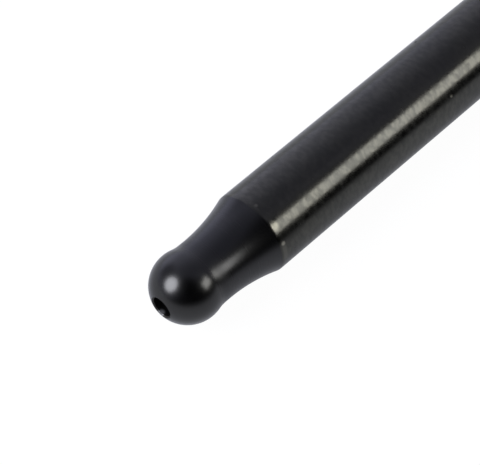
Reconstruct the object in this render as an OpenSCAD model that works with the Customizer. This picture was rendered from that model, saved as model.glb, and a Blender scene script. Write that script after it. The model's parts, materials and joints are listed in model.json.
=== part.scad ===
// Engine pushrod: one length of thick-walled steel tube. Both ends are swaged in, then ground to a
// ball with a hollow neck behind it, and an oil passage runs through from tip to tip.

/* [Tube] */
// Length over the two balls, measured as if they had no oil holes (8.280 in)
overall_length = 210.3; // [120:0.1:300]
// Outside diameter of the tube (3/8 in)
tube_diameter = 9.525; // [7.9:0.005:11.2]
// Thickness of the tube's wall (0.080 in)
tube_wall = 2.032; // [1.6:0.001:2.8]

/* [Ball ends] */
// Diameter of the ball on each end (5/16 in)
ball_diameter = 7.9375; // [7:0.0005:9.5]
// How far past its centre the ball is ground before the hollow begins
ball_reach = 1.32; // [1:0.01:2]
// Radius of the fillet in the corner between the ball and the hollow
ball_fillet_radius = 4.5; // [0.5:0.1:8]
// How far the hollow dips, from where it meets the ball to the waist
waist_dip = 0.035; // [0.02:0.005:0.1]
// Radius of the hollow that is ground from the ball up to the shoulder
neck_radius = 21; // [14:0.1:28]
// Radius that breaks the edge of the shoulder, where the hollow runs out on the tube
shoulder_edge_radius = 1; // [0.2:0.05:2]

/* [Oil passage] */
// Diameter of the oil hole through each ball (3/32 in)
oil_hole_diameter = 2.38; // [1:0.01:3]
// Width of the countersink that breaks the edge of the oil hole
oil_hole_chamfer = 0.15; // [0.05:0.01:0.4]

/* [Hidden] */

// Fineness of the curves in a preview
curve_segments = 240;
// How far a cut runs past the surface that it opens
cut_past = 1;
// How far one curve of the outline crosses the next where they blend
blend_overlap = 0.001;

tube_r = tube_diameter / 2;
ball_r = ball_diameter / 2;
bore_r = tube_r - tube_wall;
oil_hole_r = oil_hole_diameter / 2;

// The half-section is drawn as [radius, distance along the rod], with the first ball's centre at [0, 0].
ball_spacing = overall_length - ball_diameter;

// The ball and the hollow meet here. On a ball wider than the tube they meet at the tube's radius.
corner_r = min(sqrt(pow(ball_r, 2) - pow(ball_reach, 2)), tube_r);
corner_y = sqrt(pow(ball_r, 2) - pow(corner_r, 2));

// The hollow is an arc that starts at the corner and is deepest at the waist.
neck_centre_r = corner_r - waist_dip + neck_radius;
neck_centre_y = corner_y + sqrt(pow(neck_radius, 2) - pow(neck_radius - waist_dip, 2));

// The fillet is an arc that blends with the ball and with the hollow, so its centre lies at a known
// distance from both of theirs.
fillet_to_ball = ball_r + ball_fillet_radius - blend_overlap;
fillet_to_neck = neck_radius - ball_fillet_radius + blend_overlap;
neck_to_ball = norm([neck_centre_r, neck_centre_y]);
fillet_along = (pow(neck_to_ball, 2) + pow(fillet_to_ball, 2) - pow(fillet_to_neck, 2)) / (2 * neck_to_ball);
fillet_aside = sqrt(pow(fillet_to_ball, 2) - pow(fillet_along, 2));
fillet_centre_r = (fillet_along * neck_centre_r - fillet_aside * neck_centre_y) / neck_to_ball;
fillet_centre_y = (fillet_along * neck_centre_y + fillet_aside * neck_centre_r) / neck_to_ball;
neck_start_r = neck_centre_r + (fillet_centre_r - neck_centre_r) * neck_radius / fillet_to_neck;
neck_start_y = neck_centre_y + (fillet_centre_y - neck_centre_y) * neck_radius / fillet_to_neck;

// The shoulder's edge is an arc that blends with the hollow and with the tube.
edge_centre_r = tube_r - shoulder_edge_radius;
edge_centre_y = neck_centre_y
    + sqrt(pow(neck_radius + shoulder_edge_radius, 2) - pow(neck_centre_r - edge_centre_r, 2));
neck_end_y = neck_centre_y
    + (edge_centre_y - neck_centre_y) * neck_radius / (neck_radius + shoulder_edge_radius);

// The countersink is a 45 degree cone that opens on the ball at this radius.
mouth_r = oil_hole_r + oil_hole_chamfer;
mouth_y = -sqrt(pow(ball_r, 2) - pow(mouth_r, 2));

// Draws the same outline at both ends of the rod
module at_each_end() {
    children();
    translate([0, ball_spacing])
        mirror([0, 1])
            children();
}

// One of the balls
module ball_section() {
    intersection() {
        circle(ball_r);
        translate([0, -ball_diameter])
            square([ball_diameter, 2 * ball_diameter]);
    }
}

// The tube from the centre of one ball to the other, still at its full diameter
module tube_section() {
    square([tube_r, ball_spacing]);
}

// What is ground away behind a ball to leave the waist and the neck
module hollow_section() {
    translate([neck_centre_r, neck_centre_y])
        circle(neck_radius);
}

// What is ground off the edge of a shoulder to round it
module edge_break_section() {
    difference() {
        translate([edge_centre_r, neck_end_y])
            square([shoulder_edge_radius + cut_past, edge_centre_y - neck_end_y]);
        translate([edge_centre_r + blend_overlap, edge_centre_y])
            circle(shoulder_edge_radius);
    }
}

// The metal under the fillet, which the grinding leaves in the corner between a ball and its hollow
module fillet_section() {
    difference() {
        polygon([
            [0, 0],
            [fillet_centre_r, fillet_centre_y],
            [neck_start_r, neck_start_y],
            [0, neck_start_y],
        ]);
        translate([fillet_centre_r, fillet_centre_y])
            circle(ball_fillet_radius);
    }
}

// The oil passage: at each end a countersink, a hole and the taper that swaging leaves inside the neck,
// and between them the tube's bore
module passage_section() {
    at_each_end()
        polygon([
            [0, mouth_y - cut_past],
            [mouth_r + cut_past, mouth_y - cut_past],
            [oil_hole_r, mouth_y + oil_hole_chamfer],
            [oil_hole_r, neck_centre_y],
            [bore_r, edge_centre_y],
            [bore_r, edge_centre_y + cut_past],
            [0, edge_centre_y + cut_past],
        ]);
    translate([0, edge_centre_y])
        square([bore_r, ball_spacing - 2 * edge_centre_y]);
}

// Half-section of the whole rod
module rod_section() {
    difference() {
        union() {
            difference() {
                tube_section();
                at_each_end() {
                    hollow_section();
                    edge_break_section();
                }
            }
            at_each_end() {
                ball_section();
                fillet_section();
            }
        }
        passage_section();
    }
}

// The rod lies along X, with the centre of its first ball at the origin
module pushrod() {
    color("#26272a")
        rotate([0, 90, 0])
            rotate_extrude($fn = curve_segments)
                rod_section($fn = curve_segments);
}

pushrod();
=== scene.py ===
# %% [markdown]
# # Engine pushrod
# A pushrod stands between a valve lifter and a rocker arm and carries the cam's motion up to the valve.
# This one is a single length of steel tube: its ends are swaged in and ground to a ball, oil runs through it,
# and all of it is blackened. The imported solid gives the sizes, and this lesson gives the rod its looks.

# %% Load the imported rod
import json
import math

import bpy
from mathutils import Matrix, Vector
from mathutils.geometry import intersect_sphere_sphere_2d


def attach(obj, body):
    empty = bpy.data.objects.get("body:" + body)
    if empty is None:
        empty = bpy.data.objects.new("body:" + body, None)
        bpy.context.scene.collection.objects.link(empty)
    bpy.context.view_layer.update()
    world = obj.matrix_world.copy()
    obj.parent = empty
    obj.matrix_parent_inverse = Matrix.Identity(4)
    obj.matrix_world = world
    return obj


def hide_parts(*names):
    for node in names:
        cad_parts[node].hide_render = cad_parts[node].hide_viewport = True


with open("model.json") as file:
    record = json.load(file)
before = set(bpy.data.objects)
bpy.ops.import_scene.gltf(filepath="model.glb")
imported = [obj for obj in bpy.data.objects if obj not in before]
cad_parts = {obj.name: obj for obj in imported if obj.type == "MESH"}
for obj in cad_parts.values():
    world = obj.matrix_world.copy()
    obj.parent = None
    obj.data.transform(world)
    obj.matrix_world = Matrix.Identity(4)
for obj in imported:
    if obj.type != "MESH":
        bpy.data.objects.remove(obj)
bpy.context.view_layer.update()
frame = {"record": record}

MM = 0.001

# %% [markdown]
# ## Sizes of the rod
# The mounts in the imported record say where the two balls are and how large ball, tube and oil hole are, so
# those sizes are read and not written again. Only the forms between the mounts are named here: how far the
# ball is ground, the fillet in the corner behind it, the hollow, the broken edge of the shoulder, the tube's
# wall and the countersink of the oil hole.

# %% Read the sizes
mounts = {mount["name"]: mount for mount in frame["record"]["mounts"]}
ball_radius = mounts["lifter_ball"]["dims"]["r_mm"] * MM
far_ball_x = mounts["rocker_ball"]["pos_m"][0]
tube_radius = mounts["guide"]["dims"]["r_mm"] * MM
oil_hole_radius = mounts["lifter_oil_hole"]["dims"]["r_mm"] * MM
middle_x = far_ball_x / 2

ball_reach = 1.32 * MM
ball_fillet_radius = 4.5 * MM
waist_dip = 0.035 * MM
neck_radius = 21.0 * MM
shoulder_edge_radius = 1.0 * MM
tube_wall = 2.032 * MM
oil_hole_chamfer = 0.15 * MM
bore_radius = tube_radius - tube_wall
mouth_radius = oil_hole_radius + oil_hole_chamfer
print("ball and tube in mm:", round(2 * ball_radius / MM, 3), round(2 * tube_radius / MM, 3))

# %% [markdown]
# ## Where the arcs meet
# Behind the ball the outline is three arcs that blend: a fillet, the hollow and the broken edge of the
# shoulder. An arc that blends with two others has its centre at a known distance from both of theirs, so the
# centre is where two circles cross. Points could be placed by eye instead, but then the arcs would not quite
# touch, and black steel would show it.

# %% Find the centres of the arcs
corner_r = math.sqrt(ball_radius ** 2 - ball_reach ** 2)
neck_centre_r = corner_r - waist_dip + neck_radius
neck_centre_x = ball_reach + math.sqrt(neck_radius ** 2 - (neck_radius - waist_dip) ** 2)
fillet_to_ball = ball_radius + ball_fillet_radius
fillet_to_neck = neck_radius - ball_fillet_radius
neck_centre = (neck_centre_x, neck_centre_r)
crossings = intersect_sphere_sphere_2d((0, 0), fillet_to_ball, neck_centre, fillet_to_neck)
fillet_centre_x, fillet_centre_r = max(crossings, key=lambda crossing: crossing[0])
edge_centre_r = tube_radius - shoulder_edge_radius
edge_reach = math.sqrt((neck_radius + shoulder_edge_radius) ** 2 - (neck_centre_r - edge_centre_r) ** 2)
shoulder_x = neck_centre_x + edge_reach
print("shoulder at", round(shoulder_x / MM, 3), "mm, waist at", round(neck_centre_x / MM, 3), "mm")

# %% [markdown]
# ## The outline
# A turned part is an outline spun about its axis. Each round stretch is an arc between the points where it
# touches its neighbours, so ball, fillet, hollow and shoulder run into each other with no step.
# Straight cylinders and a blend would be quicker, but the reflections on black steel show every flat.

# %% Draw the outside of one end
def arc(centre, radius, start, end, steps):
    angles = [start + (end - start) * i / steps for i in range(steps + 1)]
    return [(centre[0] + radius * math.cos(a), centre[1] + radius * math.sin(a)) for a in angles]


BALL_STEPS = 44
FILLET_STEPS = 10
NECK_STEPS = 40
EDGE_STEPS = 8
tip_angle = math.pi - math.asin(mouth_radius / ball_radius)
ball_to_fillet = math.atan2(fillet_centre_r, fillet_centre_x)
neck_to_fillet = math.atan2(fillet_centre_r - neck_centre_r, fillet_centre_x - neck_centre_x)
neck_to_edge = math.atan2(edge_centre_r - neck_centre_r, shoulder_x - neck_centre_x)
fillet_centre = (fillet_centre_x, fillet_centre_r)
ball_arc = arc((0, 0), ball_radius, tip_angle, ball_to_fillet, BALL_STEPS)
fillet_arc = arc(fillet_centre, ball_fillet_radius, ball_to_fillet - math.pi, neck_to_fillet, FILLET_STEPS)
neck_arc = arc(neck_centre, neck_radius, neck_to_fillet, neck_to_edge, NECK_STEPS)
shoulder_centre = (shoulder_x, edge_centre_r)
edge_arc = arc(shoulder_centre, shoulder_edge_radius, neck_to_edge + math.pi, math.pi / 2, EDGE_STEPS)

BALL_END, TUBE, PASSAGE = range(3)
near_outside = [(point, BALL_END) for point in ball_arc[:-1] + fillet_arc[:-1] + neck_arc[:-1]]
near_outside += [(point, TUBE) for point in edge_arc]
print("points on the outside of one end:", len(near_outside))

# %% [markdown]
# ## The oil passage and the far end
# Oil enters by the hole in one ball, passes a taper inside the neck, runs along the bore and leaves at the
# other ball. Both ends are alike, so the far one is the near one seen in a mirror. The outline goes out along
# the tube and back through the passage as one closed loop. Cutting the passage with a Boolean modifier would
# work too, but a loop that is closed from the start leaves no open edge and no stray face.

# %% Close the loop through the passage
mouth_x = ball_arc[0][0]
near_inside = [
    ((shoulder_x, bore_radius), PASSAGE),
    ((neck_centre_x, oil_hole_radius), PASSAGE),
    ((mouth_x + oil_hole_chamfer, oil_hole_radius), PASSAGE),
]
far_inside = [((far_ball_x - x, r), finish) for (x, r), finish in reversed(near_inside)]

# Every point is the start of a band of faces, so a mirrored band takes the finish of the point before it.
far_outside = [(far_ball_x - x, r) for (x, r), _ in reversed(near_outside)]
far_finishes = [finish for _, finish in reversed(near_outside[:-1])] + [PASSAGE]
loop = near_outside + list(zip(far_outside, far_finishes)) + far_inside + near_inside
print("points on the whole loop:", len(loop))

# %% [markdown]
# ## The turned rod
# Spinning the loop gives the rod. A Screw modifier could spin it, but building the rings in code lets each
# band of faces keep its own finish: ball end, tube or passage. Faces are shaded smooth, and only the edges
# that are sharp on the rod, at the mouth of the oil hole and inside, stay sharp.

# %% Spin the loop about the axis
ROUND_STEPS = 192
SHARP_FROM = math.radians(25)
turn = [2 * math.pi * i / ROUND_STEPS for i in range(ROUND_STEPS)]
vertices = [(x, -r * math.sin(a), r * math.cos(a)) for (x, r), _ in loop for a in turn]
faces = []
finishes = []
for ring, (_, finish) in enumerate(loop):
    this_ring = ring * ROUND_STEPS
    next_ring = (ring + 1) % len(loop) * ROUND_STEPS
    for i in range(ROUND_STEPS):
        j = (i + 1) % ROUND_STEPS
        faces.append((this_ring + i, next_ring + i, next_ring + j, this_ring + j))
        finishes.append(finish)

mesh = bpy.data.meshes.new("pushrod_turned")
mesh.from_pydata(vertices, [], faces)
mesh.polygons.foreach_set("material_index", finishes)
mesh.polygons.foreach_set("use_smooth", [True] * len(faces))
mesh.set_sharp_from_angle(angle=SHARP_FROM)
rod = bpy.data.objects.new("pushrod_turned", mesh)
bpy.context.scene.collection.objects.link(rod)
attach(rod, "root")
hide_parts("pushrod")
print("turned rod:", len(vertices), "vertices,", len(faces), "faces")

# %% [markdown]
# ## Tools for the finishes
# Every finish on the rod is built from the same few effects: the grain that grinding leaves, the uneven tone
# of the blackening, steel that shows where an edge is rubbed, and single flecks. Their nodes could be copied
# into each material, but then every change would have to be made three times. So each effect is a node group,
# and a material only says how much of it there is. Short helpers keep the wiring readable.

# %% Helpers that add and wire nodes
def add_node(tree, kind, inputs=None, **settings):
    node = tree.nodes.new(kind)
    for name, value in settings.items():
        setattr(node, name, value)
    for name, value in (inputs or {}).items():
        if isinstance(value, bpy.types.NodeSocket):
            tree.links.new(value, node.inputs[name])
        else:
            node.inputs[name].default_value = value
    return node


def new_group(name, inputs, outputs):
    tree = bpy.data.node_groups.new(name, "ShaderNodeTree")
    for socket, kind, value in inputs:
        made = tree.interface.new_socket(socket, in_out="INPUT", socket_type="NodeSocket" + kind)
        made.default_value = value
    for socket, kind in outputs:
        tree.interface.new_socket(socket, in_out="OUTPUT", socket_type="NodeSocket" + kind)
    return tree, tree.nodes.new("NodeGroupInput").outputs, tree.nodes.new("NodeGroupOutput").inputs


def math_node(tree, operation, a, b=0.0):
    return add_node(tree, "ShaderNodeMath", {0: a, 1: b}, operation=operation).outputs[0]


def ramp_between(tree, value, low, high):
    ramp = add_node(tree, "ShaderNodeMapRange", {"Value": value, "From Min": low, "From Max": high})
    ramp.interpolation_type = "SMOOTHSTEP"
    return ramp.outputs["Result"]


def mix_colours(tree, share, first, second):
    # The Mix node has its colour sockets after those for numbers and vectors.
    inputs = {"Factor": share, 6: first, 7: second}
    return add_node(tree, "ShaderNodeMix", inputs, data_type="RGBA").outputs[2]


def object_place(tree):
    return add_node(tree, "ShaderNodeTexCoord").outputs["Object"]


helpers = [add_node, new_group, math_node, ramp_between, mix_colours, object_place]
print("helpers:", [helper.__name__ for helper in helpers])

# %% [markdown]
# ## Grinding grain
# Grinding leaves fine marks that run round the turning rod. On the tube they are short and blotchy, and on
# the ball ends they are long thin lines. A picture of scratches could be wrapped round the rod, but it would
# show where it repeats. Noise that is scaled differently along and round the rod draws both kinds: the
# spacing says how close the marks are along the rod, and the length how far a mark runs round it. Marks that
# are strong enough let a little steel through.

# %% Node group: grinding grain
grain, grain_in, grain_out = new_group(
    "grinding_grain",
    [("Spacing mm", "Float", 0.2), ("Length mm", "Float", 5.0), ("Cut Through", "Float", 0.7)],
    [("Height", "Float"), ("Bare Lines", "Float")],
)
GRAIN_DETAIL = 3.0
CUT_SOFTNESS = 0.3
place_mm = add_node(
    grain, "ShaderNodeVectorMath", {0: object_place(grain), "Scale": 1 / MM}, operation="SCALE"
).outputs[0]
axes = add_node(grain, "ShaderNodeSeparateXYZ", {0: place_mm}).outputs
squeezed = add_node(
    grain,
    "ShaderNodeCombineXYZ",
    {
        "X": math_node(grain, "DIVIDE", axes["X"], grain_in["Spacing mm"]),
        "Y": math_node(grain, "DIVIDE", axes["Y"], grain_in["Length mm"]),
        "Z": math_node(grain, "DIVIDE", axes["Z"], grain_in["Length mm"]),
    },
).outputs[0]
lines = add_node(grain, "ShaderNodeTexNoise", {"Vector": squeezed, "Scale": 1.0, "Detail": GRAIN_DETAIL})
height = lines.outputs["Fac"]
clean_through = math_node(grain, "ADD", grain_in["Cut Through"], CUT_SOFTNESS)
bare_lines = ramp_between(grain, height, grain_in["Cut Through"], clean_through)
grain.links.new(height, grain_out["Height"])
grain.links.new(bare_lines, grain_out["Bare Lines"])
print("made", grain.name)

# %% [markdown]
# ## Tone of the blackening
# Black oxide is never one black. It is a little cooler or warmer from one patch to the next, and on the tube
# the warmer patches are a little duller too. One soft noise drives both, so that tone and gloss change
# together, which two separate noises would not do.

# %% Node group: oxide tone
oxide, oxide_in, oxide_out = new_group(
    "oxide_tone",
    [
        ("Cool Black", "Color", (0.0, 0.0, 0.0, 1.0)),
        ("Warm Black", "Color", (0.0, 0.0, 0.0, 1.0)),
        ("Patch mm", "Float", 4.0),
    ],
    [("Color", "Color"), ("Dullness", "Float")],
)
PATCH_DETAIL = 3.0
COOL_BELOW = 0.3
WARM_ABOVE = 0.7
patch_scale = math_node(oxide, "DIVIDE", 1 / MM, oxide_in["Patch mm"])
patches = add_node(
    oxide, "ShaderNodeTexNoise", {"Vector": object_place(oxide), "Scale": patch_scale, "Detail": PATCH_DETAIL}
)
patch = ramp_between(oxide, patches.outputs["Fac"], COOL_BELOW, WARM_ABOVE)
tone = mix_colours(oxide, patch, oxide_in["Cool Black"], oxide_in["Warm Black"])
oxide.links.new(tone, oxide_out["Color"])
oxide.links.new(patch, oxide_out["Dullness"])
print("made", oxide.name)

# %% [markdown]
# ## Rubbed edges
# The shoulder and the lip of the oil hole stand proud, so handling rubs their black thin first. Edge wear is
# often read off the bend of the surface, but these edges lie at known places. So the mask is a narrow band
# round the rod at one distance from its middle, the same at both ends, and noise breaks it up so that it
# comes and goes as real rubbing does.

# %% Node group: rubbed edge
def from_middle(tree):
    along = add_node(tree, "ShaderNodeSeparateXYZ", {0: object_place(tree)}).outputs["X"]
    return math_node(tree, "ABSOLUTE", math_node(tree, "SUBTRACT", along, middle_x))


rub, rub_in, rub_out = new_group(
    "rubbed_edge",
    [("From Middle", "Float", 0.0), ("Width mm", "Float", 0.1), ("Wear", "Float", 0.5)],
    [("Mask", "Float")],
)
RUBS_PER_METRE = 0.9 / MM
RUB_DETAIL = 4.0
RUB_SOFTNESS = 0.2
off_edge = math_node(rub, "ABSOLUTE", math_node(rub, "SUBTRACT", from_middle(rub), rub_in["From Middle"]))
width = math_node(rub, "MULTIPLY", rub_in["Width mm"], MM)
band = math_node(rub, "SUBTRACT", 1.0, ramp_between(rub, off_edge, 0.0, width))
broken = add_node(
    rub, "ShaderNodeTexNoise", {"Vector": object_place(rub), "Scale": RUBS_PER_METRE, "Detail": RUB_DETAIL}
)
unworn = math_node(rub, "SUBTRACT", 1.0, rub_in["Wear"])
worn = ramp_between(rub, broken.outputs["Fac"], unworn, math_node(rub, "ADD", unworn, RUB_SOFTNESS))
rub.links.new(math_node(rub, "MULTIPLY", band, worn), rub_out["Mask"])
print("made", rub.name)

# %% [markdown]
# ## Single flecks
# A few bright flecks that paint highlights on the shoulder's edge, one bright nick, a dark pit and a grey
# patch that paints lamplight in the oil hole sit at known places on the rod. A fleck is a small ball of
# influence round one point: the mask is whole at the point and falls to nothing at the fleck's radius.
# A painted image could hold them too, but a place and a radius are easier to move.

# %% Node group: fleck
fleck, fleck_in, fleck_out = new_group(
    "fleck",
    [("Place", "Vector", (0.0, 0.0, 0.0)), ("Radius mm", "Float", 0.1), ("Strength", "Float", 1.0)],
    [("Mask", "Float")],
)
WHOLE_SHARE = 0.3
apart = add_node(
    fleck, "ShaderNodeVectorMath", {0: object_place(fleck), 1: fleck_in["Place"]}, operation="DISTANCE"
).outputs["Value"]
fleck_radius = math_node(fleck, "MULTIPLY", fleck_in["Radius mm"], MM)
heart = math_node(fleck, "MULTIPLY", fleck_radius, WHOLE_SHARE)
nearness = math_node(fleck, "SUBTRACT", 1.0, ramp_between(fleck, apart, heart, fleck_radius))
fleck.links.new(math_node(fleck, "MULTIPLY", nearness, fleck_in["Strength"]), fleck_out["Mask"])
print("made", fleck.name)

# %% [markdown]
# ## Putting a finish together
# All three finishes have the same skeleton: a metal that is almost black, with bare steel where a mask says
# so. Dark paint could be tried too, but its colour would glow under every lamp, while a metal only mirrors.
# The grain bends the surface a little and makes it a little rougher or smoother.

# %% One skeleton for all finishes
STEEL = (0.56, 0.53, 0.42, 1.0)


def start_finish(name):
    material = bpy.data.materials.new(name)
    material.use_nodes = True
    tree = material.node_tree
    shader = tree.nodes["Principled BSDF"]
    shader.inputs["Metallic"].default_value = 1.0
    return material, tree, shader


def finish_surface(tree, shader, black, bare, roughness, height, depth_mm):
    colour = mix_colours(tree, bare, black, STEEL)
    bump = add_node(tree, "ShaderNodeBump", {"Height": height, "Strength": 1.0, "Distance": depth_mm * MM})
    tree.links.new(colour, shader.inputs["Base Color"])
    tree.links.new(roughness, shader.inputs["Roughness"])
    tree.links.new(bump.outputs["Normal"], shader.inputs["Normal"])


print("one skeleton, with steel at", STEEL[:3])

# %% [markdown]
# ## Placing the effects
# A finish places the node groups with its own values, and then joins their masks. Where two masks meet, the
# stronger one counts. Adding them up would make a bright spot wherever two faint marks happen to cross.

# %% Helpers that place the groups
def place_group(tree, group, **values):
    node = add_node(tree, "ShaderNodeGroup", node_tree=group)
    for name, value in values.items():
        node.inputs[name.replace("_", " ")].default_value = value
    return node.outputs


def place_oxide(tree, cool, warm, patch_mm):
    return place_group(tree, oxide, Cool_Black=(*cool, 1), Warm_Black=(*warm, 1), Patch_mm=patch_mm)


def place_flecks(tree, flecks):
    return [
        place_group(tree, fleck, Place=spot, Radius_mm=radius, Strength=strength)["Mask"]
        for spot, radius, strength in flecks
    ]


def strongest(tree, masks):
    total = masks[0]
    for mask in masks[1:]:
        total = math_node(tree, "MAXIMUM", total, mask)
    return total


def between(tree, value, low, high, start=0.0, end=1.0):
    ranges = {"Value": value, "From Min": start, "From Max": end, "To Min": low, "To Max": high}
    return add_node(tree, "ShaderNodeMapRange", ranges).outputs["Result"]


print("groups to place:", [group.name for group in (grain, oxide, rub, fleck)])

# %% [markdown]
# ## Highlights on the shoulder, a nick and a pit on the tube
# Bright flecks of steel along the shoulder paint the highlights where its rounded edge catches the lamps, and
# below the lowest one a row of faint flecks paints the highlight running on down the edge as a streak.
# Farther up the tube a knock has left one bright nick, and there is one small dark pit. The nick and the pit
# could be cut into the mesh, but they are too shallow to change the outline, so they are left to the finish.
# A place on the tube is a distance from the ball's centre and an angle round the axis, as on a dividing head.

# %% Place the shoulder highlights, the nick and the pit
def on_tube(x_mm, degrees):
    angle = math.radians(degrees)
    return Vector((x_mm * MM, -tube_radius * math.sin(angle), tube_radius * math.cos(angle)))


# Each is a place, a radius in millimetres and a strength.
# The flecks 9.4 to 9.5 mm from the ball's centre paint highlights on the shoulder's edge; the one at 35.7 mm
# is a nick.
EDGE_HIGHLIGHTS_AND_NICK = [
    (on_tube(9.5, 4.5), 0.28, 0.14),
    (on_tube(9.45, 64.2), 0.36, 0.45),
    (on_tube(9.4, 38.0), 0.80, 0.14),
    (on_tube(35.7, 57.3), 0.26, 1.0),
]
# Faint flecks round the shoulder's lower edge paint the streak of its highlight.
HIGHLIGHT_STREAK_ANGLES = range(66, 90, 3)
EDGE_HIGHLIGHTS_AND_NICK += [(on_tube(9.42, degrees), 0.45, 0.07) for degrees in HIGHLIGHT_STREAK_ANGLES]
PIT = (on_tube(38.16, -43.5), 0.22, 1.0)
PIT_BLACK = (0.008, 0.008, 0.008, 1.0)
PIT_DEPTH = 3.0
print("nicks:", len(EDGE_HIGHLIGHTS_AND_NICK))

# %% [markdown]
# ## The tube
# The tube is satin. Under a lamp it shows one long strip of light, a little warm, and the strip is mottled
# because the grain is shinier in some places than in others. It could be painted as light and dark spots, but
# away from the lamp the tube is an even black. So the mottling is mostly in the roughness, and the marks let
# only a little steel through. Seen along its surface the tube mirrors a little less than plain metal would,
# which the Specular Tint says.

# %% Finish: ground tube
STEEL_IN_LINES = 0.027
STEEL_ON_SHOULDER = 0.05
LOW_GRAIN_ROUGHNESS = 0.33
HIGH_GRAIN_ROUGHNESS = 0.05
WARM_ROUGHNESS = 0.03
TUBE_GRAIN_DEPTH_MM = 0.001
WEAKER_AT_LOW_ANGLES = (0.85, 0.85, 0.85, 1)
tube_finish, tree, shader = start_finish("ground_tube")
shader.inputs["Specular Tint"].default_value = WEAKER_AT_LOW_ANGLES
marks = place_group(tree, grain, Spacing_mm=0.5, Length_mm=0.9, Cut_Through=0.36)
black = place_oxide(tree, cool=(0.0565, 0.0562, 0.0503), warm=(0.061, 0.0603, 0.0525), patch_mm=5.0)
edge = place_group(tree, rub, From_Middle=middle_x - shoulder_x, Width_mm=0.3, Wear=0.5)
thin_lines = math_node(tree, "MULTIPLY", marks["Bare Lines"], STEEL_IN_LINES)
thin_edge = math_node(tree, "MULTIPLY", edge["Mask"], STEEL_ON_SHOULDER)
# Bare steel shows in the grain and on the rubbed shoulder; the flecks paint highlights on the shoulder,
# besides one nick.
bare = strongest(tree, [thin_lines, thin_edge] + place_flecks(tree, EDGE_HIGHLIGHTS_AND_NICK))
pit = place_flecks(tree, [PIT])[0]
pitted = mix_colours(tree, pit, black["Color"], PIT_BLACK)
ground = between(tree, marks["Height"], LOW_GRAIN_ROUGHNESS, HIGH_GRAIN_ROUGHNESS)
dull = between(tree, black["Dullness"], 0.0, WARM_ROUGHNESS)
roughness = math_node(tree, "MAXIMUM", math_node(tree, "ADD", ground, dull), pit)
relief = math_node(tree, "SUBTRACT", marks["Height"], math_node(tree, "MULTIPLY", pit, PIT_DEPTH))
finish_surface(tree, shader, pitted, bare, roughness, relief, TUBE_GRAIN_DEPTH_MM)
print("made", tube_finish.name)

# %% [markdown]
# ## The ball ends
# Ball and neck are ground finer than the tube, in long thin lines that hardly show. The ball runs in a cup
# and is the smoothest place, with its black worn a little thin. The neck is blacker, and the corner behind
# the ball is the dullest. Ramps along the axis change the finish from one to the next, because three separate
# materials would show a line where they meet.

# %% Finish: ground ball ends
STEEL_IN_FINE_LINES = 0.01
STEEL_ON_LIP = 0.05
STEEL_ON_BALL = 0.018
NECK_ROUGHNESS = 0.27
BALL_ROUGHNESS = 0.255
CORNER_ROUGHNESS = 0.08
LINE_ROUGHNESS = 0.01
BALL_FINISH_X = 0.6 * ball_reach
DULL_FROM_X = 3.3 * MM
DULLEST_X = 1.9 * MM
FINE_GRAIN_DEPTH_MM = 0.00014


def rise_to_tip(tree, start_x, end_x):
    return ramp_between(tree, from_middle(tree), middle_x - start_x, middle_x - end_x)


ball_finish, tree, shader = start_finish("ground_ball_end")
marks = place_group(tree, grain, Spacing_mm=0.12, Length_mm=6.0, Cut_Through=0.5)
black = place_oxide(tree, cool=(0.0465, 0.0466, 0.0464), warm=(0.05, 0.0496, 0.0488), patch_mm=3.0)
lip = place_group(tree, rub, From_Middle=middle_x - mouth_x, Width_mm=0.08, Wear=0.45)
on_ball = rise_to_tip(tree, neck_centre_x, BALL_FINISH_X)
in_corner = math_node(tree, "SUBTRACT", rise_to_tip(tree, DULL_FROM_X, DULLEST_X), on_ball)
thin_lines = math_node(tree, "MULTIPLY", marks["Bare Lines"], STEEL_IN_FINE_LINES)
thin_lip = math_node(tree, "MULTIPLY", lip["Mask"], STEEL_ON_LIP)
thin_ball = math_node(tree, "MULTIPLY", on_ball, STEEL_ON_BALL)
bare = strongest(tree, [thin_lines, thin_lip, thin_ball])
ground = between(tree, marks["Height"], -LINE_ROUGHNESS, LINE_ROUGHNESS)
smooth = between(tree, on_ball, NECK_ROUGHNESS, BALL_ROUGHNESS)
dull = math_node(tree, "MULTIPLY", in_corner, CORNER_ROUGHNESS)
roughness = math_node(tree, "ADD", math_node(tree, "ADD", ground, smooth), dull)
finish_surface(tree, shader, black["Color"], bare, roughness, marks["Height"], FINE_GRAIN_DEPTH_MM)
print("made", ball_finish.name)

# %% [markdown]
# ## The oil passage
# The hole is drilled and its edge broken by a countersink, so its walls are rougher, and the blackening took
# unevenly. Inside, the black is darker than on the ball end, which paints the shade in the hole. The lip is a
# little greyer, and at one place near the mouth a light grey, dull patch paints the lamplight that falls on
# the hole's wall. It is a grey fleck in the finish, not a lump in the mesh.

# %% Finish: drilled oil passage
STEEL_IN_DRILL_LINES = 0.05
STEEL_ON_DRILLED_LIP = 0.04
# A light grey, dull patch near the mouth paints the lamplight that falls on the hole's wall.
LIT_PATCH_IN_HOLE = (Vector((-3.52, 0.18, -1.18)) * MM, 0.5, 1.0)
LIT_PATCH_GREY = (0.24, 0.24, 0.245, 1.0)
LIT_PATCH_ROUGHNESS = 0.85
SMOOTHEST_DRILLED = 0.4
ROUGHEST_DRILLED = 0.6
DRILL_DEPTH_MM = 0.001
passage_finish, tree, shader = start_finish("drilled_oil_passage")
marks = place_group(tree, grain, Spacing_mm=0.3, Length_mm=2.0, Cut_Through=0.66)
# The passage's black is darker than the ball end's, which paints the shade inside the hole.
black = place_oxide(tree, cool=(0.02, 0.02, 0.022), warm=(0.03, 0.028, 0.026), patch_mm=1.0)
lip = place_group(tree, rub, From_Middle=middle_x - mouth_x, Width_mm=0.7, Wear=0.8)
thin_lines = math_node(tree, "MULTIPLY", marks["Bare Lines"], STEEL_IN_DRILL_LINES)
grey_lip = math_node(tree, "MULTIPLY", lip["Mask"], STEEL_ON_DRILLED_LIP)
bare = strongest(tree, [thin_lines, grey_lip])
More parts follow.
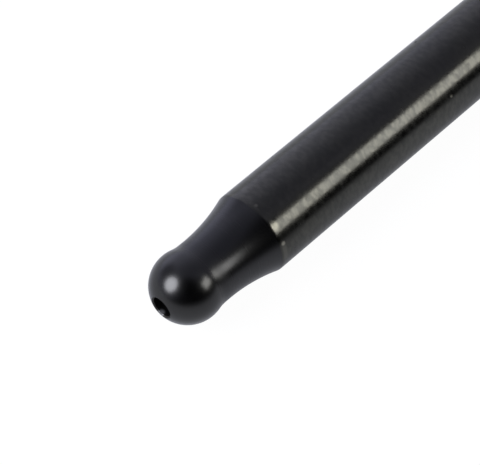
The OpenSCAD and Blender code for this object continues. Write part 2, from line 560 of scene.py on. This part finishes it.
# The grey patch paints lamplight on the hole's wall near the mouth.
lit_patch = place_flecks(tree, [LIT_PATCH_IN_HOLE])[0]
lit_patched = mix_colours(tree, lit_patch, black["Color"], LIT_PATCH_GREY)
drilled = between(tree, marks["Height"], SMOOTHEST_DRILLED, ROUGHEST_DRILLED)
roughness = math_node(tree, "MAXIMUM", drilled, math_node(tree, "MULTIPLY", lit_patch, LIT_PATCH_ROUGHNESS))
finish_surface(tree, shader, lit_patched, bare, roughness, marks["Height"], DRILL_DEPTH_MM)
for finish in (ball_finish, tube_finish, passage_finish):
    mesh.materials.append(finish)
print("finishes on the rod:", [finish.name for finish in mesh.materials])

# %% [markdown]
# ## Camera
# The view is a close-up of one ball end that looks down on the rod, with the rod running away to the upper
# right. The direction of view, the place of the ball's centre in the picture and its distance fix where the
# camera stands. Turning the camera by hand until it looks right would do too, but then nobody could say why
# it stands there.

# %% Set up the camera
def towards(azimuth, elevation):
    a = math.radians(azimuth)
    e = math.radians(elevation)
    return Vector((math.sin(a) * math.cos(e), -math.cos(a) * math.cos(e), math.sin(e)))


PICTURE_WIDTH = 480
PICTURE_HEIGHT = 465
FOCAL_PIXELS = 1986
BALL_PIXEL = (187.5, 285.87)
BALL_DISTANCE = 200.0 * MM
TO_CAMERA = towards(-45.78, 53.87)

camera = bpy.data.objects.new("camera", bpy.data.cameras.new("camera"))
bpy.context.scene.collection.objects.link(camera)
bpy.context.scene.camera = camera
camera.data.sensor_width = 36
camera.data.lens = FOCAL_PIXELS / PICTURE_WIDTH * camera.data.sensor_width
camera.data.clip_start = 0.01
right = Vector((0, 0, 1)).cross(TO_CAMERA).normalized()
up = TO_CAMERA.cross(right)
pixel = BALL_DISTANCE / FOCAL_PIXELS
ball_right = (BALL_PIXEL[0] - PICTURE_WIDTH / 2) * pixel
ball_up = (PICTURE_HEIGHT / 2 - BALL_PIXEL[1]) * pixel
camera.location = TO_CAMERA * BALL_DISTANCE - right * ball_right - up * ball_up
camera.rotation_euler = (-TO_CAMERA).to_track_quat("-Z", "Y").to_euler()
bpy.context.scene.view_settings.view_transform = "Standard"
print("camera at", [round(value / MM, 1) for value in camera.location], "mm")
print("lens:", round(camera.data.lens, 1), "mm")

# %% [markdown]
# ## Floor
# The rod lies on a plain floor, which is one wide face. A curved sweep would hide the far edge of the floor,
# but the world behind it is as white as the floor, so the edge hardly shows.

# %% Lay the floor
FLOOR_HALF = 3.0
floor_z = -tube_radius
corners = [(-1, -1), (1, -1), (1, 1), (-1, 1)]
floor_mesh = bpy.data.meshes.new("floor")
floor_mesh.from_pydata([(x * FLOOR_HALF, y * FLOOR_HALF, floor_z) for x, y in corners], [], [(0, 1, 2, 3)])
floor = bpy.data.objects.new("floor", floor_mesh)
bpy.context.scene.collection.objects.link(floor)
print("floor at", round(floor_z / MM, 3), "mm")

# %% [markdown]
# ## White of the floor
# To the camera the floor is white by itself, and only a small part of its brightness is lamplight, so the
# rod's shadow stays on it but is faint. The rod mirrors the floor too. In the mirror the floor is dimmer and
# slightly blue, it takes more of the lamplight, and it darkens towards the front, because the real rod is
# dark on that side. White paper under strong lamps would be simpler, but the lamps would wash out the rod.

# %% Finish: white floor
def dot_product(tree, vector, direction):
    inputs = {0: vector, 1: direction}
    return add_node(tree, "ShaderNodeVectorMath", inputs, operation="DOT_PRODUCT").outputs["Value"]


SEEN_GLOW = 0.97
MIRRORED_GLOW = 0.41
SEEN_PAPER = 0.05
MIRRORED_PAPER = 0.46
SEEN_TINT = (1, 1, 1, 1)
MIRRORED_TINT = (0.92, 0.945, 1.04, 1)
FRONT = towards(-22, 0)
FRONT_REACH = 65.0 * MM
FRONT_LEVEL = 0.2
floor_finish = bpy.data.materials.new("white_floor")
floor_finish.use_nodes = True
tree = floor_finish.node_tree
tree.nodes.remove(tree.nodes["Principled BSDF"])
light_path = add_node(tree, "ShaderNodeLightPath").outputs
camera_ray = light_path["Is Camera Ray"]
seen = strongest(tree, [camera_ray, light_path["Is Glossy Ray"], light_path["Is Transmission Ray"]])
forward = dot_product(tree, object_place(tree), FRONT)
dimmed = math_node(tree, "MAXIMUM", between(tree, forward, 1.0, FRONT_LEVEL, end=FRONT_REACH), camera_ray)

glow_level = math_node(tree, "MULTIPLY", between(tree, camera_ray, MIRRORED_GLOW, SEEN_GLOW), seen)
glow_strength = math_node(tree, "MULTIPLY", glow_level, dimmed)
tint = mix_colours(tree, camera_ray, MIRRORED_TINT, SEEN_TINT)
glow = add_node(tree, "ShaderNodeEmission", {"Color": tint, "Strength": glow_strength})
paper_grey = math_node(tree, "MULTIPLY", between(tree, camera_ray, MIRRORED_PAPER, SEEN_PAPER), dimmed)
paper = add_node(tree, "ShaderNodeBsdfDiffuse", {"Color": paper_grey})
both = add_node(tree, "ShaderNodeAddShader", {0: glow.outputs[0], 1: paper.outputs[0]})
tree.links.new(both.outputs[0], tree.nodes["Material Output"].inputs["Surface"])
floor_mesh.materials.append(floor_finish)
print("made", floor_finish.name)

# %% [markdown]
# ## Softboxes
# A black rod is seen almost only by what it reflects. The softbox on the right draws the strip along the tube
# and neck, and the one on the left the large spot on the ball. A weak fill above lifts the black beside the
# strip. Small lamps would light the rod as well, but would leave only thin glints. A softbox is placed by its
# direction and its width and height in degrees, because the reflections show just that, and its power follows
# from the radiance that it should have.

# %% Hang the softboxes
LAMP_DISTANCE = 1.5


def softbox(name, shape, direction, width, height, radiance, colour):
    light = bpy.data.lights.new(name, "AREA")
    light.shape = shape
    light.size = 2 * LAMP_DISTANCE * math.tan(math.radians(width / 2))
    light.size_y = 2 * LAMP_DISTANCE * math.tan(math.radians(height / 2))
    area = light.size * light.size_y * (math.pi / 4 if shape == "ELLIPSE" else 1)
    light.energy = radiance * math.pi * area
    light.color = colour
    lamp = bpy.data.objects.new(name, light)
    lamp.location = direction * LAMP_DISTANCE
    lamp.rotation_euler = (-direction).to_track_quat("-Z", "Y").to_euler()
    lamp.visible_camera = False
    bpy.context.scene.collection.objects.link(lamp)
    print(name, "is", round(light.size, 2), "by", round(light.size_y, 2), "m,", round(light.energy, 1), "W")


softbox(
    "softbox_right",
    "RECTANGLE",
    towards(32.6, 30.1),
    width=26.6,
    height=21.5,
    radiance=4.75,
    colour=(0.99, 0.99, 0.99),
)
softbox(
    "softbox_left",
    "ELLIPSE",
    towards(-112, 36),
    width=37,
    height=42,
    radiance=7.6,
    colour=(0.95, 0.975, 1.08),
)
softbox(
    "top_fill",
    "RECTANGLE",
    towards(32, 55),
    width=36,
    height=20,
    radiance=0.06,
    colour=(0.92, 0.94, 1.04),
)

# %% [markdown]
# ## The room
# The rod mirrors the room as well. It is bright low down beyond the rod, as on a white sweep, and falls off
# to black in front. One ramp along one direction does that. A panorama picture is the usual way to get such a
# room, but each stop of a ramp can be read and changed.

# %% Light the room
DARK_SIDE = towards(-12, -5)
ROOM_TINT = (0.76, 0.775, 1.0)
# Each stop is a place on the way from the bright side, 0, to the dark side, 1, and the radiance there.
ROOM_LEVELS = [
    (0.0, 1.65),
    (0.05, 1.0),
    (0.1, 0.9),
    (0.2, 0.6),
    (0.3, 0.42),
    (0.4, 0.34),
    (0.6, 0.3),
    (0.7, 0.08),
    (0.8, 0.03),
    (1.0, 0.006),
]
ROOM_BRIGHTEST = max(radiance for _, radiance in ROOM_LEVELS)

world = bpy.data.worlds.new("studio")
world.use_nodes = True
bpy.context.scene.world = world
tree = world.node_tree
direction = add_node(tree, "ShaderNodeTexCoord").outputs["Generated"]
to_dark_side = between(tree, dot_product(tree, direction, DARK_SIDE), 0.0, 1.0, start=-1.0)
room = add_node(tree, "ShaderNodeValToRGB", {"Fac": to_dark_side})
while len(room.color_ramp.elements) < len(ROOM_LEVELS):
    room.color_ramp.elements.new(0.5)
for stop, (position, radiance) in zip(room.color_ramp.elements, ROOM_LEVELS):
    stop.position = position
    level = radiance / ROOM_BRIGHTEST
    stop.color = (*(level * channel for channel in ROOM_TINT), 1)
room_light = tree.nodes["Background"]
tree.links.new(room.outputs["Color"], room_light.inputs["Color"])
print("stops in the room:", len(room.color_ramp.elements))

# %% [markdown]
# ## Dark places in the room
# Two places are darker than the ramp says. One is the gap between the left softbox and the sweep. The other
# is where the camera stands, and it makes the deep black between the ball's two spots. Black screens in the
# scene would do the same, but they might also throw shadows on the floor.

# %% Darken the gap and the camera's place
def darkened(tree, place, edge_degrees, heart_degrees, level):
    edge = math.cos(math.radians(edge_degrees))
    heart = math.cos(math.radians(heart_degrees))
    inside = ramp_between(tree, dot_product(tree, direction, place), edge, heart)
    return between(tree, inside, 1.0, level)


GAP_LEVEL = 0.4
CAMERA_LEVEL = 0.08
in_gap = darkened(tree, towards(-158, 31), edge_degrees=27, heart_degrees=9, level=GAP_LEVEL)
at_camera = darkened(tree, TO_CAMERA, edge_degrees=35, heart_degrees=8, level=CAMERA_LEVEL)
light_left = math_node(tree, "MULTIPLY", in_gap, at_camera)
room_strength = math_node(tree, "MULTIPLY", light_left, ROOM_BRIGHTEST)
tree.links.new(room_strength, room_light.inputs["Strength"])
print("share of the room's light left in the gap and at the camera:", GAP_LEVEL, CAMERA_LEVEL)

# %% [markdown]
# ## White behind the rod
# The camera doesn't see the room. To it, and through anything clear, the world is plain white, so every view
# has the same pale background as the floor. Mirrored, the world stays the room: a rod that mirrored plain
# white all round would look grey, and this one is black. A white wall behind the rod would be the other way,
# but it would stand in the light.

# %% Show the camera a white world
white = add_node(tree, "ShaderNodeBackground", {"Color": (1, 1, 1, 1), "Strength": 1.0})
light_path = add_node(tree, "ShaderNodeLightPath").outputs
seen = math_node(tree, "MAXIMUM", light_path["Is Camera Ray"], light_path["Is Transmission Ray"])
chosen = add_node(tree, "ShaderNodeMixShader", {0: seen, 1: room_light.outputs[0], 2: white.outputs[0]})
tree.links.new(chosen.outputs[0], tree.nodes["World Output"].inputs["Surface"])
print("made world", world.name)
